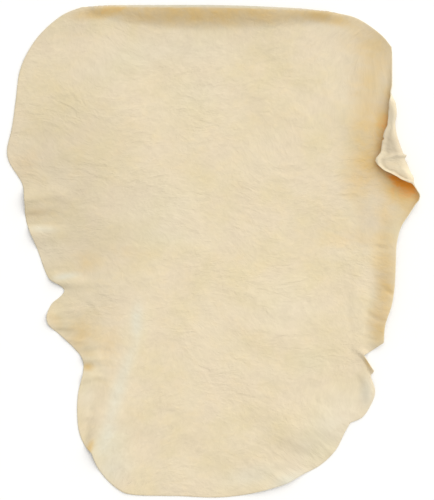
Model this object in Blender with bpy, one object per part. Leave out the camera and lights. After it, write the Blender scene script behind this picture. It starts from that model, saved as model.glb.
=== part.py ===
"""A chamois: one whole skin of about 0.37 square metres (4 square feet), lying face up on a flat surface.

The skin is cut flat to its own uneven outline, and then it is folded. Its top edge is tucked under, its
right-hand edge stands up and rolls over on itself, and its rim is lifted here and there in soft folds.
Everything is worked out in millimetres, with +X to the right, +Y towards the tucked edge and +Z up.
"""

import math

import bmesh
import bpy
import numpy as np
from mathutils import Vector
from mathutils.geometry import delaunay_2d_cdt

MM = 0.001
THICKNESS = 1.2  # of the suede, which hardly varies over a split skin

# Spacing of the points that the skin is built from.
RIM_STEP = 8.0  # along the cut edge
ROLL_STEP = 4.0  # from one section of the roll to the next
TUCK_STEP = 12.0  # from one section of the tuck to the next
FOLD_STEP = 9.0  # along the crest of a soft fold
FLAT_STEP = 40.0  # where the skin lies flat
RIM_MARGIN = 2.2  # no inner point lies nearer to the cut edge
BEND_GAP = 1.6  # the least distance between points in the roll and the tuck
FOLD_GAP = 5.0  # from a point of a soft fold to any other
FLAT_GAP = 14.0  # from a point where the skin lies flat to any other

# The cut edge where it lies as it was cut, from the left end of the tuck round by the left flank, the neck
# and the right flank to the foot of the roll. A corner breaks the smooth curve through the other points.
FLANKS = (
    # x, y, bend
    (-197, 366, "round"),
    (-224, 355, "round"),
    (-256, 329, "round"),
    (-276, 302, "round"),
    (-290, 270, "round"),
    (-296, 227, "round"),
    (-302, 184, "round"),
    (-309, 152, "round"),
    (-306, 134, "round"),
    (-286, 100, "round"),
    (-283, 77, "round"),
    (-280, 44, "round"),
    (-264, 4, "round"),
    (-250, -34, "round"),
    (-244, -43, "round"),
    (-228, -52, "round"),
    (-223, -59, "round"),
    (-229, -68, "round"),
    (-242, -79, "round"),
    (-250, -99, "round"),
    (-247, -110, "round"),
    (-230, -125, "round"),
    (-208, -146, "round"),
    (-196, -162, "round"),
    (-195, -181, "round"),
    (-202, -210, "round"),
    (-204, -238, "round"),
    (-201, -271, "round"),
    (-192, -292, "round"),
    (-183, -302, "corner"),
    (-173, -325, "round"),
    (-156, -346, "round"),
    (-136, -361, "round"),
    (-120, -365, "round"),
    (-50, -367, "round"),
    (6, -369, "round"),
    (52, -364, "round"),
    (107, -349, "round"),
    (133, -335, "round"),
    (161, -320, "round"),
    (184, -297, "round"),
    (196, -273, "round"),
    (205, -257, "corner"),
    (223, -249, "round"),
    (236, -230, "round"),
    (242, -210, "round"),
    (235, -187, "corner"),
    (241, -180, "corner"),
    (226, -156, "corner"),
    (234, -151, "round"),
    (255, -137, "corner"),
    (257, -112, "round"),
    (267, -80, "round"),
    (271, -55, "round"),
    (273, -18, "round"),
    (274, 8, "round"),
    (278, 28, "round"),
)

# The cut edge round the top right corner, from the head of the roll to the right end of the tuck.
SHOULDER = (
    # x, y, bend
    (267, 306, "corner"),
    (255, 321, "round"),
    (234, 338, "round"),
    (213, 350, "round"),
    (200, 354, "round"),
)

# Sections across the right-hand roll, from its foot to its head. At each y the skin leaves the surface at
# start, climbs gently, turns through a tight bend of the radius given until it has turned by turn, and ends
# in a straight flap. The farthest that it reaches is out.
ROLL = (
    # y, start, out, radius, turn in degrees, flap
    (28, 250, 278, 24, 0, 0),
    (40, 254, 283, 23, 16, 0),
    (53, 258, 292, 22, 30, 0),
    (61, 260, 297, 19, 42, 0),
    (70, 262, 303, 15, 58, 0),
    (77, 263, 308, 13, 74, 0),
    (83, 262, 309, 11, 88, 0),
    (92, 258, 305, 9, 104, 0),
    (100, 254, 301, 8, 135, 0),
    (104, 253, 300, 8, 190, 2),
    (107, 252, 300, 8, 200, 8),
    (111, 252, 299, 8, 200, 13),
    (116, 251, 296, 8, 200, 19),
    (122, 250, 293, 8, 200, 29),
    (130, 248, 290, 8, 200, 34),
    (138, 247, 286, 8, 200, 32),
    (149, 246, 283, 7, 200, 24),
    (160, 245, 279, 7, 203, 18),
    (179, 244, 274, 6, 203, 10),
    (190, 244, 273, 5, 203, 6),
    (205, 244, 275, 5, 203, 7),
    (221, 245, 273, 5, 200, 4),
    (230, 246, 269, 5, 160, 1),
    (238, 246, 266, 7, 95, 0),
    (250, 246, 268, 11, 60, 0),
    (272, 248, 268, 15, 34, 0),
    (294, 252, 268, 18, 14, 0),
    (306, 256, 267, 20, 0, 0),
)
CLIMB_SHARE = 0.11  # the share of the turn that the gentle climb takes

# Sections across the tucked top edge, from right to left. At each x the skin rises from the surface over
# rise, turns down by turn round a bend of the radius given, and runs back under itself by hem. The farthest
# that it reaches is out.
TUCK = (
    # x, out, radius, turn in degrees, hem, rise
    (200, 354, 1.0, 0, 0, 10),
    (186, 357, 1.2, 60, 0, 14),
    (172, 360, 1.5, 150, 0, 18),
    (160, 361, 1.9, 180, 3, 21),
    (130, 364, 2.8, 180, 9, 27),
    (90, 366, 3.8, 180, 14, 33),
    (40, 368, 4.6, 180, 17, 37),
    (-20, 369, 5.0, 180, 18, 40),
    (-70, 369, 4.6, 180, 16, 38),
    (-115, 369, 3.6, 180, 12, 33),
    (-150, 369, 2.4, 180, 7, 26),
    (-172, 368, 1.6, 165, 2, 20),
    (-186, 367, 1.2, 80, 0, 15),
    (-197, 366, 1.0, 0, 0, 10),
)
LEAST_TURN = math.radians(0.5)  # keeps the formulas finite where an edge lies flat

# Soft folds. The crest of each runs through its rows and is as high as they say. The skin falls from it to
# the surface over the reach given for its left and for its right, as seen by someone walking along the crest.
FOLDS = {
    # x, y, height, left reach, right reach
    "left flank, upper": ((-292, 74, 7, 24, 28), (-262, 75, 5, 22, 27), (-222, 80, 0, 18, 22)),
    "left flank, lower": ((-286, 20, 4.5, 22, 20), (-255, 22, 4, 20, 18), (-210, 28, 0, 16, 16)),
    "above the left notch": ((-236, -46, 4.5, 20, 9), (-208, -49, 3.5, 18, 11), (-176, -46, 0, 14, 12)),
    "left lobe": ((-256, -104, 3.5, 20, 18), (-222, -108, 0, 18, 16)),
    "waist, upper": ((-200, -163, 3, 12, 12), (-166, -160, 0, 12, 12)),
    "waist, lower": ((-204, -194, 3, 15, 13), (-160, -184, 0, 12, 12)),
    "long ridge": (
        (-188, -314, 6, 11, 28),
        (-176, -278, 5, 18, 32),
        (-162, -238, 4, 28, 36),
        (-144, -190, 3, 36, 40),
        (-126, -125, 2, 40, 42),
        (-112, -74, 0, 38, 40),
    ),
    "neck bulge": (
        (78, -262, 0, 34, 34),
        (122, -274, 5, 46, 40),
        (160, -264, 5, 42, 40),
        (194, -248, 0, 28, 30),
    ),
    "neck lip": (
        (50, -372, 0, 20, 18),
        (86, -362, 5, 28, 20),
        (118, -350, 5, 26, 20),
        (146, -334, 0, 16, 16),
    ),
    "beside the right flank": ((214, -10, 0, 24, 12), (213, -60, 1.5, 32, 14), (214, -132, 0, 24, 12)),
    "right flank": (
        (290, 66, 0, 44, 40),
        (280, 25, 6, 50, 40),
        (277, -20, 9, 50, 40),
        (274, -60, 10, 48, 40),
        (265, -100, 9, 44, 40),
        (258, -136, 8, 36, 30),
    ),
    "notch lip": ((243, -183, 6, 9, 9), (226, -155, 5, 9, 9), (211, -147, 0, 8, 8)),
    "right lobe": (
        (228, -232, 0, 16, 8),
        (235, -214, 3, 18, 9),
        (235, -196, 4, 20, 9),
        (230, -178, 0, 16, 8),
    ),
}
CREST_STEP = 4.0  # between the points that a crest is measured from


def monotone_cubic(stations, values, at):
    """Values of a smooth curve through the rows of a table, which doesn't overshoot between them."""
    gap = np.diff(stations)
    slope = np.diff(values) / gap
    tangent = np.concatenate([slope[:1], np.zeros(len(slope) - 1), slope[-1:]])
    before, after = slope[:-1], slope[1:]
    same_way = before * after > 0
    heavy, light = 2 * gap[1:] + gap[:-1], gap[1:] + 2 * gap[:-1]
    safe_before = np.where(same_way, before, 1.0)
    safe_after = np.where(same_way, after, 1.0)
    mean = (heavy + light) / (heavy / safe_before + light / safe_after)
    tangent[1:-1] = np.where(same_way, mean, 0.0)
    at = np.clip(at, stations[0], stations[-1])
    row = np.clip(np.searchsorted(stations, at, side="right") - 1, 0, len(gap) - 1)
    t = (at - stations[row]) / gap[row]
    return (
        (1 + 2 * t) * (1 - t) ** 2 * values[row]
        + t * (1 - t) ** 2 * gap[row] * tangent[row]
        + t**2 * (3 - 2 * t) * values[row + 1]
        + t**2 * (t - 1) * gap[row] * tangent[row + 1]
    )


def columns(table, at):
    """Every column of a table but its first, read at any station along the first."""
    rows = np.array(sorted(table), float)
    return [monotone_cubic(rows[:, 0], column, at) for column in rows[:, 1:].T]


def roll_section(y):
    """The sizes of the roll's section at y: where it starts, the radius and turn of its climb, its tight
    bend's radius, its whole turn and its length along the skin."""
    start, out, radius, degrees, flap = columns(ROLL, y)
    turn = np.maximum(np.radians(degrees), LEAST_TURN)
    climb = CLIMB_SHARE * turn
    widest = np.minimum(turn, math.pi / 2)
    climb_radius = (out - start - radius * (np.sin(widest) - np.sin(climb))) / np.sin(climb)
    length = climb_radius * climb + radius * (turn - climb) + flap
    return start, climb_radius, climb, radius, turn, length


def rolled(x, y):
    """Where the flat skin's points go in the roll: along the climb, round the bend and down the flap."""
    start, climb_radius, climb, radius, turn, _ = roll_section(y)
    along = np.maximum(x - start, 0)
    first = climb_radius * climb
    second = radius * (turn - climb)
    a = np.minimum(along, first) / climb_radius
    b = climb + np.clip(along - first, 0, second) / radius
    c = np.maximum(along - first - second, 0)
    out = climb_radius * np.sin(a) + radius * (np.sin(b) - np.sin(climb)) + c * np.cos(turn)
    up = climb_radius * (1 - np.cos(a)) + radius * (np.cos(climb) - np.cos(b)) + c * np.sin(turn)
    return np.minimum(x, start) + out, up


def tuck_section(x):
    """The sizes of the tuck's section at x: where its rise starts, where its bend starts and the height
    there, the bend's radius and turn, and the y of its cut edge on the flat skin. The bend starts as high as
    the hem then comes down, so the hem ends on the surface."""
    out, radius, degrees, hem, rise = columns(TUCK, x)
    turn = np.maximum(np.radians(degrees), LEAST_TURN)
    crest = out - (radius + THICKNESS) * np.sin(np.minimum(turn, math.pi / 2))
    upside_down = np.maximum(0, -np.cos(turn))
    height = radius * (1 - np.cos(turn)) + hem * np.sin(turn) + THICKNESS * upside_down
    return out - rise, crest, height, radius, turn, crest + radius * turn + hem


def tucked(x, y):
    """Where the flat skin's points go in the tuck: up the rise, round the bend and straight on under the skin,
    in the direction that the bend ends in."""
    foot, crest, height, radius, turn, _ = tuck_section(x)
    share = np.clip((y - foot) / (crest - foot), 0, 1)
    past = np.maximum(y - crest, 0)
    angle = np.minimum(past / radius, turn)
    under = np.maximum(past - radius * turn, 0)
    across = np.minimum(y, crest) + radius * np.sin(angle) + under * np.cos(turn)
    up = height * share**2 * (3 - 2 * share) - radius * (1 - np.cos(angle)) - under * np.sin(turn)
    return across, up


def crest_points(rows, step):
    """Stations along a soft fold's crest: its x, y, height and reaches, and the direction it runs in."""
    rows = np.array(rows, float)
    run = np.concatenate([[0], np.cumsum(np.linalg.norm(np.diff(rows[:, :2], axis=0), axis=1))])
    at = stations(0, run[-1], step)
    x, y, height, left, right = (monotone_cubic(run, column, at) for column in rows.T)
    heading = np.arctan2(np.gradient(y), np.gradient(x))
    return x, y, height, left, right, heading


def fold_height(x, y):
    """How far the soft folds lift the skin: the highest of them at each point, each a cosine bell over its
    crest."""
    lift = np.zeros(len(x))
    for fold in FOLDS.values():
        crest_x, crest_y, height, left, right, heading = crest_points(fold, CREST_STEP)
        dx, dy = x[:, None] - crest_x, y[:, None] - crest_y
        on_left = np.cos(heading) * dy > np.sin(heading) * dx
        away = np.minimum(np.hypot(dx, dy) / np.where(on_left, left, right), 1)
        lift = np.maximum(lift, (height * np.cos(away * math.pi / 2) ** 2).max(axis=1))
    return lift


def smooth_chain(rows):
    """Points along a cut edge: a centripetal Catmull-Rom curve through the rows, broken at each corner."""
    points = np.array([(x, y) for x, y, _ in rows], float)
    last_row = len(rows) - 1
    breaks = [0, *(i for i in range(1, last_row) if rows[i][2] == "corner"), last_row]
    chain = [points[:1]]
    for first, last in zip(breaks[:-1], breaks[1:]):
        leg = points[first : last + 1]
        padded = np.vstack([2 * leg[0] - leg[1], leg, 2 * leg[-1] - leg[-2]])
        for p0, p1, p2, p3 in zip(padded[:-3], padded[1:-2], padded[2:-1], padded[3:]):
            chain.append(catmull_rom(p0, p1, p2, p3))
    return np.vstack(chain)


def catmull_rom(p0, p1, p2, p3):
    """Points from just after p1 to p2 on the centripetal curve through four points."""
    t1 = np.linalg.norm(p1 - p0) ** 0.5
    t2 = t1 + np.linalg.norm(p2 - p1) ** 0.5
    t3 = t2 + np.linalg.norm(p3 - p2) ** 0.5
    steps = max(1, round(np.linalg.norm(p2 - p1) / RIM_STEP))
    t = np.linspace(t1, t2, steps + 1)[1:, None]
    a1 = (t1 - t) / t1 * p0 + t / t1 * p1
    a2 = (t2 - t) / (t2 - t1) * p1 + (t - t1) / (t2 - t1) * p2
    a3 = (t3 - t) / (t3 - t2) * p2 + (t - t2) / (t3 - t2) * p3
    b1 = (t2 - t) / t2 * a1 + t / t2 * a2
    b2 = (t3 - t) / (t3 - t1) * a2 + (t - t1) / (t3 - t1) * a3
    return (t2 - t) / (t2 - t1) * b1 + (t - t1) / (t2 - t1) * b2


def stations(low, high, step):
    return np.linspace(low, high, math.ceil(abs(high - low) / step) + 1)


def cut_edge():
    """The flat skin's outline, anticlockwise: the flanks, the roll's edge, the shoulder and the hem."""
    y = stations(ROLL[0][0], ROLL[-1][0], ROLL_STEP / 2)[1:-1]
    start, _, _, _, _, length = roll_section(y)
    x = stations(TUCK[0][0], TUCK[-1][0], RIM_STEP)[1:-1]
    hem = tuck_section(x)[-1]
    roll_edge, hem_edge = np.stack([start + length, y], 1), np.stack([x, hem], 1)
    loop = np.vstack([smooth_chain(FLANKS), roll_edge, smooth_chain(SHOULDER), hem_edge])
    apart = np.linalg.norm(loop - np.roll(loop, 1, axis=0), axis=1)
    return loop[apart > BEND_GAP]


def roll_points():
    """Points of the flat skin in rows across the roll, closest where it bends most."""
    y = stations(ROLL[0][0], ROLL[-1][0], ROLL_STEP)
    start, climb_radius, climb, radius, turn, _ = roll_section(y)
    first = climb_radius * climb
    second = radius * (turn - climb)
    across = [start + first * share for share in (0, 0.33, 0.67)]
    across += [start + first + second * share for share in np.linspace(0, 1, 9)]
    across += [start + first + second + beyond for beyond in (8, 16, 24)]
    return np.vstack([np.stack([x, y], 1) for x in across])


def tuck_points():
    """Points of the flat skin in rows across the tuck, closest where it bends most."""
    x = stations(TUCK[0][0], TUCK[-1][0], TUCK_STEP)
    foot, crest, _, radius, turn, edge = tuck_section(x)
    across = [foot + (crest - foot) * share for share in (0, 0.2, 0.4, 0.6, 0.8, 1)]
    across += [crest + radius * turn * share for share in np.linspace(0, 1, 8)[1:]]
    across += [(crest + radius * turn + edge) / 2]
    return np.vstack([np.stack([x, y], 1) for y in across])


def fold_points():
    """Points of the flat skin in rows across each soft fold, from its crest to its foot on either side."""
    rows = []
    for fold in FOLDS.values():
        x, y, _, left, right, heading = crest_points(fold, FOLD_STEP)
        for share in (0, 0.3, -0.3, 0.6, -0.6, 0.85, -0.85, 1, -1):
            away = share * (left if share > 0 else right)
            rows.append(np.stack([x - away * np.sin(heading), y + away * np.cos(heading)], 1))
    points = np.vstack(rows)
    return points[~bends(points)]


def flat_points(edge):
    """A wide grid over the whole skin, but for the roll and the tuck."""
    x = np.arange(edge[:, 0].min(), edge[:, 0].max(), FLAT_STEP)
    y = np.arange(edge[:, 1].min(), edge[:, 1].max(), FLAT_STEP)
    points = np.stack(np.meshgrid(x, y), -1).reshape(-1, 2)
    return points[~bends(points)]


def bends(points):
    """Whether each point of the flat skin is in the roll or the tuck."""
    x, y = points.T
    in_roll = (y > ROLL[0][0]) & (y < ROLL[-1][0]) & (x > roll_section(y)[0])
    in_tuck = (x < TUCK[0][0]) & (x > TUCK[-1][0]) & (y > tuck_section(x)[0])
    return in_roll | in_tuck


def inside(points, edge):
    """The points that lie within the cut edge and clear of it: those with an odd count of crossings to their
    right."""
    ahead = np.roll(edge, -1, axis=0)
    x, y = points[:, :1], points[:, 1:]
    crosses = (edge[:, 1] > y) != (ahead[:, 1] > y)
    rise = np.where(ahead[:, 1] == edge[:, 1], 1, ahead[:, 1] - edge[:, 1])
    meets = edge[:, 0] + (y - edge[:, 1]) / rise * (ahead[:, 0] - edge[:, 0])
    within = (crosses & (meets > x)).sum(axis=1) % 2 == 1
    run = ahead - edge
    share = ((points[:, None] - edge) * run).sum(-1) / (run**2).sum(-1)
    nearest = edge + np.clip(share, 0, 1)[..., None] * run
    return points[within & (np.linalg.norm(points[:, None] - nearest, axis=-1).min(1) > RIM_MARGIN)]


def with_more(kept, points, gap):
    """The points kept so far, and those of some more that come no nearer than the gap to any of them."""
    for point in points:
        if np.linalg.norm(kept - point, axis=1).min() > gap:
            kept = np.vstack([kept, point])
    return kept


def flat_skin():
    """The skin as cut: a triangulated sheet within its outline, finest where it will bend."""
    edge = cut_edge()
    bent = inside(np.vstack([roll_points(), tuck_points()]), edge)
    inner = with_more(bent[:1], bent, BEND_GAP)
    inner = with_more(inner, inside(fold_points(), edge), FOLD_GAP)
    inner = with_more(inner, inside(flat_points(edge), edge), FLAT_GAP)
    points = [Vector(point) for point in np.vstack([edge, inner])]
    outline = [list(range(len(edge)))]
    made = delaunay_2d_cdt(points, [], outline, 1, 1e-4)
    return np.array([tuple(point) for point in made[0]]), made[2]


def folded(flat):
    """The flat skin's points where they come to lie."""
    x, y = flat.T
    z = fold_height(x, y)
    in_roll = (y > ROLL[0][0]) & (y < ROLL[-1][0])
    in_tuck = (x < TUCK[0][0]) & (x > TUCK[-1][0]) & (y > 0)
    rolled_x, rolled_z = rolled(x, y)
    tucked_y, tucked_z = tucked(x, y)
    return np.stack(
        [
            np.where(in_roll, rolled_x, x),
            np.where(in_tuck, tucked_y, y),
            z + np.where(in_roll, rolled_z, 0) + np.where(in_tuck, tucked_z, 0),
        ],
        1,
    )


def suede():
    material = bpy.data.materials.new("suede")
    material.use_nodes = True
    shader = material.node_tree.nodes["Principled BSDF"]
    shader.inputs["Base Color"].default_value = (0.72, 0.62, 0.45, 1)
    shader.inputs["Roughness"].default_value = 0.9
    shader.inputs["Metallic"].default_value = 0.0
    return material


def chamois_skin():
    """The folded skin, given its thickness upwards from its underside and centred on the surface it lies
    on."""
    flat, faces = flat_skin()
    sheet = bmesh.new()
    corners = [sheet.verts.new(point * MM) for point in folded(flat)]
    for face in faces:
        sheet.faces.new([corners[i] for i in face])
    sheet.normal_update()
    if sum(face.normal.z * face.calc_area() for face in sheet.faces) < 0:
        bmesh.ops.reverse_faces(sheet, faces=sheet.faces)
    mesh = bpy.data.meshes.new("chamois_skin")
    sheet.to_mesh(mesh)
    sheet.free()
    skin = bpy.data.objects.new("chamois_skin", mesh)
    bpy.context.scene.collection.objects.link(skin)
    solid = skin.modifiers.new("thickness", "SOLIDIFY")
    solid.thickness = THICKNESS * MM
    solid.offset = 1
    solid.use_quality_normals = True
    mesh.materials.append(suede())
    return skin


for old in list(bpy.data.objects):
    bpy.data.objects.remove(old)
chamois_skin()
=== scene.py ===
import math

import bpy
import numpy as np
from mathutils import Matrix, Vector


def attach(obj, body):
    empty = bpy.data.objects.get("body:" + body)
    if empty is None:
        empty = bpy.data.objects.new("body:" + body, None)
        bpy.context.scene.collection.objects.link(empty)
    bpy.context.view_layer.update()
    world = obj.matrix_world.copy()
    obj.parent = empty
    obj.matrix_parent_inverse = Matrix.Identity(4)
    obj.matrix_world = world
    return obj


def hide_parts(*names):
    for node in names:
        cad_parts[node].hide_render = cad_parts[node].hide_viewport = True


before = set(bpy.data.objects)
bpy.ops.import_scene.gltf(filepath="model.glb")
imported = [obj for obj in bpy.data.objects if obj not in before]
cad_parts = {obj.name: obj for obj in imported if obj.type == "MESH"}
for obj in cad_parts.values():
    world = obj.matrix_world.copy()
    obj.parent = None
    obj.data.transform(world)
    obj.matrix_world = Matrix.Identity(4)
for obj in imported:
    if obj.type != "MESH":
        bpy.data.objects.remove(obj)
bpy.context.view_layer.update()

# The skin as it is cut: one whole skin in its natural uneven outline, with nothing sewn to it. Names such
# as flank, neck and leg only say where a place is on that outline. Its sizes are in millimetres: +X to the
# right, +Y towards the tucked edge and +Z up.

MM = 0.001
THICKNESS = 1.2
MIDDLE = np.array([2.0, 17.0])  # the whole cut edge is in plain sight of this point
RINGS = 108  # from the middle to the cut edge
RINGS_CROWDED = 0.4  # how much closer together than an even spacing they lie at the cut edge
EDGE_CROWDED = 1.3  # how much closer together the points of the cut edge are along the roll
CROWDED_PAST = 240  # the x that the roll's crowded edge lies beyond
CROWDED_BETWEEN = (60, 260)  # and the y that it lies between
EDGE_STEP = 1.0
# Where the rings' four corners meet the cut edge.
CORNERS = ((267, 306), (-290, 270), (-204, -238), (226, -156))

FLANKS = (
    # x, y, bend
    (-197, 366, "round"),
    (-224, 355, "round"),
    (-256, 329, "round"),
    (-276, 302, "round"),
    (-290, 270, "round"),
    (-296, 227, "round"),
    (-302, 184, "round"),
    (-309, 152, "round"),
    (-306, 134, "round"),
    (-286, 100, "round"),
    (-283, 77, "round"),
    (-280, 44, "round"),
    (-264, 4, "round"),
    (-250, -34, "round"),
    (-244, -43, "round"),
    (-228, -52, "round"),
    (-223, -59, "round"),
    (-229, -68, "round"),
    (-242, -79, "round"),
    (-250, -99, "round"),
    (-247, -110, "round"),
    (-230, -125, "round"),
    (-208, -146, "round"),
    (-196, -162, "round"),
    (-195, -181, "round"),
    (-202, -210, "round"),
    (-204, -238, "round"),
    (-201, -271, "round"),
    (-192, -292, "round"),
    (-183, -302, "corner"),
    (-173, -325, "round"),
    (-156, -346, "round"),
    (-136, -361, "round"),
    (-120, -365, "round"),
    (-50, -367, "round"),
    (6, -369, "round"),
    (52, -364, "round"),
    (107, -349, "round"),
    (133, -335, "round"),
    (161, -320, "round"),
    (184, -297, "round"),
    (196, -273, "round"),
    (205, -257, "corner"),
    (223, -249, "round"),
    (236, -230, "round"),
    (242, -210, "round"),
    (235, -187, "corner"),
    (241, -180, "corner"),
    (226, -156, "corner"),
    (234, -151, "round"),
    (255, -137, "corner"),
    (257, -112, "round"),
    (267, -80, "round"),
    (271, -55, "round"),
    (273, -18, "round"),
    (274, 8, "round"),
    (278, 28, "round"),
)

SHOULDER = (
    # x, y, bend
    (267, 306, "corner"),
    (255, 321, "round"),
    (234, 338, "round"),
    (213, 350, "round"),
    (200, 354, "round"),
)

# Sections across the right-hand roll. At each y the skin leaves the surface at start, climbs gently, turns
# through a tight bend until it has turned by turn, and ends in a straight flap. The farthest that it
# reaches is out.
ROLL = (
    # y, start, out, radius, turn in degrees, flap
    (28, 250, 278, 24, 0, 0),
    (40, 254, 283, 23, 16, 0),
    (53, 258, 292, 22, 30, 0),
    (61, 260, 297, 19, 42, 0),
    (70, 262, 303, 15, 58, 0),
    (77, 263, 308, 13, 74, 0),
    (83, 262, 309, 11, 88, 0),
    (92, 258, 305, 9, 104, 0),
    (100, 254, 301, 8, 135, 0),
    (104, 253, 300, 8, 190, 2),
    (107, 252, 300, 8, 200, 8),
    (111, 252, 299, 8, 200, 13),
    (116, 251, 296, 8, 200, 19),
    (122, 250, 293, 8, 200, 29),
    (130, 248, 290, 8, 200, 34),
    (138, 247, 286, 8, 200, 32),
    (149, 246, 283, 7, 200, 24),
    (160, 245, 279, 7, 203, 18),
    (179, 244, 274, 6, 203, 10),
    (190, 244, 273, 5, 203, 6),
    (205, 244, 275, 5, 203, 7),
    (221, 245, 273, 5, 200, 4),
    (230, 246, 269, 5, 160, 1),
    (238, 246, 266, 7, 95, 0),
    (250, 246, 268, 11, 60, 0),
    (272, 248, 268, 15, 34, 0),
    (294, 252, 268, 18, 14, 0),
    (306, 256, 267, 20, 0, 0),
)
CLIMB_SHARE = 0.11  # the share of the turn that the gentle climb takes

# Sections across the tucked top edge. At each x the skin rises from the surface over rise, turns down by
# turn round its bend, and runs back under itself by hem. The farthest that it reaches is out.
TUCK = (
    # x, out, radius, turn in degrees, hem, rise
    (200, 354, 1.0, 0, 0, 10),
    (186, 357, 1.2, 60, 0, 14),
    (172, 360, 1.5, 150, 0, 18),
    (160, 361, 1.9, 180, 3, 21),
    (130, 364, 2.8, 180, 9, 27),
    (90, 366, 3.8, 180, 14, 33),
    (40, 368, 4.6, 180, 17, 37),
    (-20, 369, 5.0, 180, 18, 40),
    (-70, 369, 4.6, 180, 16, 38),
    (-115, 369, 3.6, 180, 12, 33),
    (-150, 369, 2.4, 180, 7, 26),
    (-172, 368, 1.6, 165, 2, 20),
    (-186, 367, 1.2, 80, 0, 15),
    (-197, 366, 1.0, 0, 0, 10),
)
LEAST_TURN = math.radians(0.5)  # keeps the formulas finite where an edge lies flat

# Small nicks in the free edge of the roll. One with a negative depth is a point that stands out instead.
NICKS = (
    # y, half width, depth
    (135, 8.0, -3.4),
    (168, 2.6, 2.6),
    (214, 3.0, 1.0),
)


def monotone_cubic(stations, values, at):
    """A smooth curve through a table's rows that doesn't overshoot between them: on each gap the cubic
    whose end slopes are the weighted harmonic means of the neighbouring ones, or level where those differ
    in sign."""
    gap = np.diff(stations)
    slope = np.diff(values) / gap
    before, after = slope[:-1], slope[1:]
    same_way = before * after > 0
    heavy, light = 2 * gap[1:] + gap[:-1], gap[1:] + 2 * gap[:-1]
    mean = (heavy + light) / (heavy / np.where(same_way, before, 1) + light / np.where(same_way, after, 1))
    tangent = np.concatenate([slope[:1], np.where(same_way, mean, 0), slope[-1:]])
    at = np.clip(at, stations[0], stations[-1])
    row = np.clip(np.searchsorted(stations, at, side="right") - 1, 0, len(gap) - 1)
    t = (at - stations[row]) / gap[row]
    return (
        (1 + 2 * t) * (1 - t) ** 2 * values[row]
        + t * (1 - t) ** 2 * gap[row] * tangent[row]
        + t**2 * (3 - 2 * t) * values[row + 1]
        + t**2 * (t - 1) * gap[row] * tangent[row + 1]
    )


def columns(table, at):
    """Every column of a table but its first, read at any station along the first."""
    rows = np.array(sorted(table), float)
    return [monotone_cubic(rows[:, 0], column, at) for column in rows[:, 1:].T]


def roll_section(y):
    """The roll's sizes at y. The climb's radius is the one that makes the section's farthest point come at
    out: out = start + R sin(climb) + r (sin(turn, or 90 degrees if that is less) - sin(climb))."""
    start, out, radius, degrees, flap = columns(ROLL, y)
    turn = np.maximum(np.radians(degrees), LEAST_TURN)
    climb = CLIMB_SHARE * turn
    widest = np.minimum(turn, math.pi / 2)
    climb_radius = (out - start - radius * (np.sin(widest) - np.sin(climb))) / np.sin(climb)
    length = climb_radius * climb + radius * (turn - climb) + flap
    return start, climb_radius, climb, radius, turn, length


def tuck_section(x):
    """The tuck's sizes at x. The hem ends on the surface, so the bend starts as high as it then comes down:
    height = r (1 - cos turn) + hem sin(turn), and one thickness more where the skin is upside down."""
    out, radius, degrees, hem, rise = columns(TUCK, x)
    turn = np.maximum(np.radians(degrees), LEAST_TURN)
    crest = out - (radius + THICKNESS) * np.sin(np.minimum(turn, math.pi / 2))
    height = radius * (1 - np.cos(turn)) + hem * np.sin(turn) + THICKNESS * np.maximum(0, -np.cos(turn))
    return out - rise, crest, height, radius, turn, crest + radius * turn + hem


def catmull_rom(p0, p1, p2, p3):
    """Points from just after p1 to p2: the centripetal curve through four points, as blends of blends of
    chords, with knots spaced by the square root of each chord."""
    t1 = np.linalg.norm(p1 - p0) ** 0.5
    t2 = t1 + np.linalg.norm(p2 - p1) ** 0.5
    t3 = t2 + np.linalg.norm(p3 - p2) ** 0.5
    count = max(1, round(np.linalg.norm(p2 - p1) / EDGE_STEP))
    t = np.linspace(t1, t2, count + 1)[1:, None]
    a1 = (t1 - t) / t1 * p0 + t / t1 * p1
    a2 = (t2 - t) / (t2 - t1) * p1 + (t - t1) / (t2 - t1) * p2
    a3 = (t3 - t) / (t3 - t2) * p2 + (t - t2) / (t3 - t2) * p3
    b1 = (t2 - t) / t2 * a1 + t / t2 * a2
    b2 = (t3 - t) / (t3 - t1) * a2 + (t - t1) / (t3 - t1) * a3
    return (t2 - t) / (t2 - t1) * b1 + (t - t1) / (t2 - t1) * b2


def smooth_chain(rows):
    """Points along a cut edge: the curve through its rows, broken at each corner."""
    points = np.array([row[:2] for row in rows], float)
    end = len(rows) - 1
    breaks = [0, *(i for i, row in enumerate(rows) if row[2] == "corner" and 0 < i < end), end]
    chain = [points[:1]]
    for first, last in zip(breaks[:-1], breaks[1:]):
        leg = points[first : last + 1]
        padded = np.vstack([2 * leg[0] - leg[1], leg, 2 * leg[-1] - leg[-2]])
        chain += [catmull_rom(*four) for four in zip(padded[:-3], padded[1:-2], padded[2:-1], padded[3:])]
    return np.vstack(chain)


def cut_edge():
    """The flat skin's outline, anticlockwise from the left end of the tuck: the flanks, the roll's free
    edge with its nicks, the shoulder and the hem of the tuck. A nick is a triangle taken out of the roll's
    edge."""
    y = np.arange(ROLL[0][0], ROLL[-1][0], EDGE_STEP)[1:]
    start, _, _, _, _, length = roll_section(y)
    nick = sum(depth * np.maximum(0, 1 - np.abs(y - at) / half) for at, half, depth in NICKS)
    x = np.arange(TUCK[0][0], TUCK[-1][0], -EDGE_STEP)[1:]
    return np.vstack(
        [
            smooth_chain(FLANKS),
            np.stack([start + length - nick, y], 1),
            smooth_chain(SHOULDER),
            np.stack([x, tuck_section(x)[-1]], 1),
        ]
    )


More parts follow.
